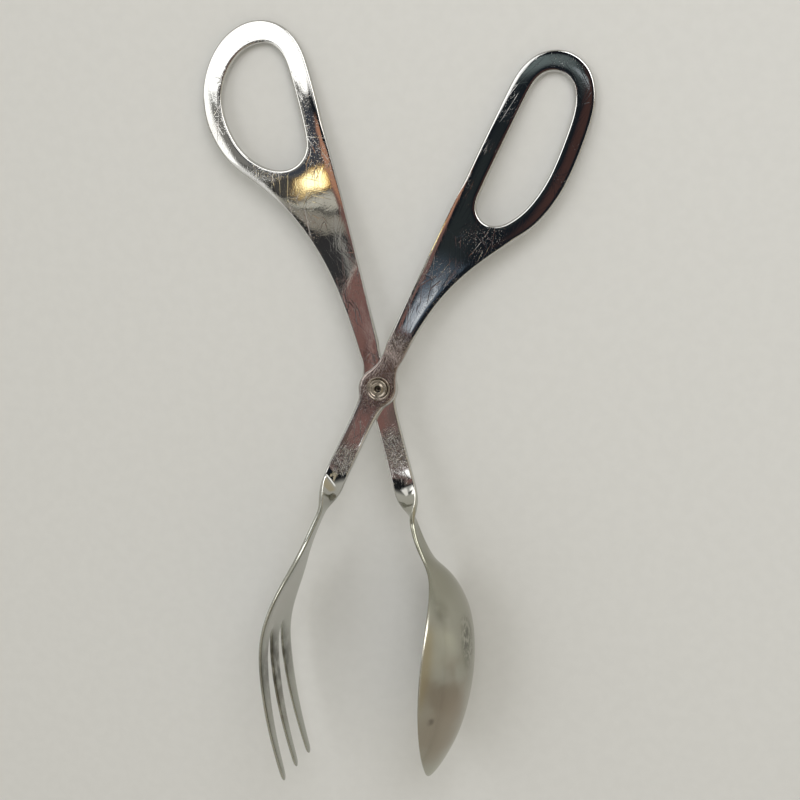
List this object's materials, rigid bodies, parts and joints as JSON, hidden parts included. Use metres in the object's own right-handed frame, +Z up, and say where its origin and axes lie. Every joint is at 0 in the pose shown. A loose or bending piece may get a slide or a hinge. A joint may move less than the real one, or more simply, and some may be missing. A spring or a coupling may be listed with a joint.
{
  "type": "scissor serving tongs",
  "caption": "Scissor-action serving tongs: a fork arm and a spoon arm crossed on a rivet, with finger loops.",
  "frame": {"origin": "on the table, under the middle of the open tongs' bounding box", "axes": "+Y from the heads to the handles, +X to the fork arm's handle, +Z up from the table they lie on"},
  "size_m": [0.1298, 0.2478, 0.0493],
  "materials": {
    "spoon_arm": "polished",
    "fork_arm": "polished",
    "pivot_rivet": "satin",
    "pivot_washer": "satin"
  },
  "bodies": {
    "spoon_side": {"spoon_arm": "spoon_arm", "pivot_rivet": "pivot_rivet", "pivot_washer": "pivot_washer"},
    "fork_side": {"fork_arm": "fork_arm"}
  },
  "joints": [
    {"name": "pivot", "type": "hinge", "parent": "spoon_side", "child": "fork_side", "pos_m": [-0.00472, 0.00497, 0.0149], "axis": [0.0423, 0.1175, 0.9922], "range_deg": [-108, 19.3]}
  ]
}
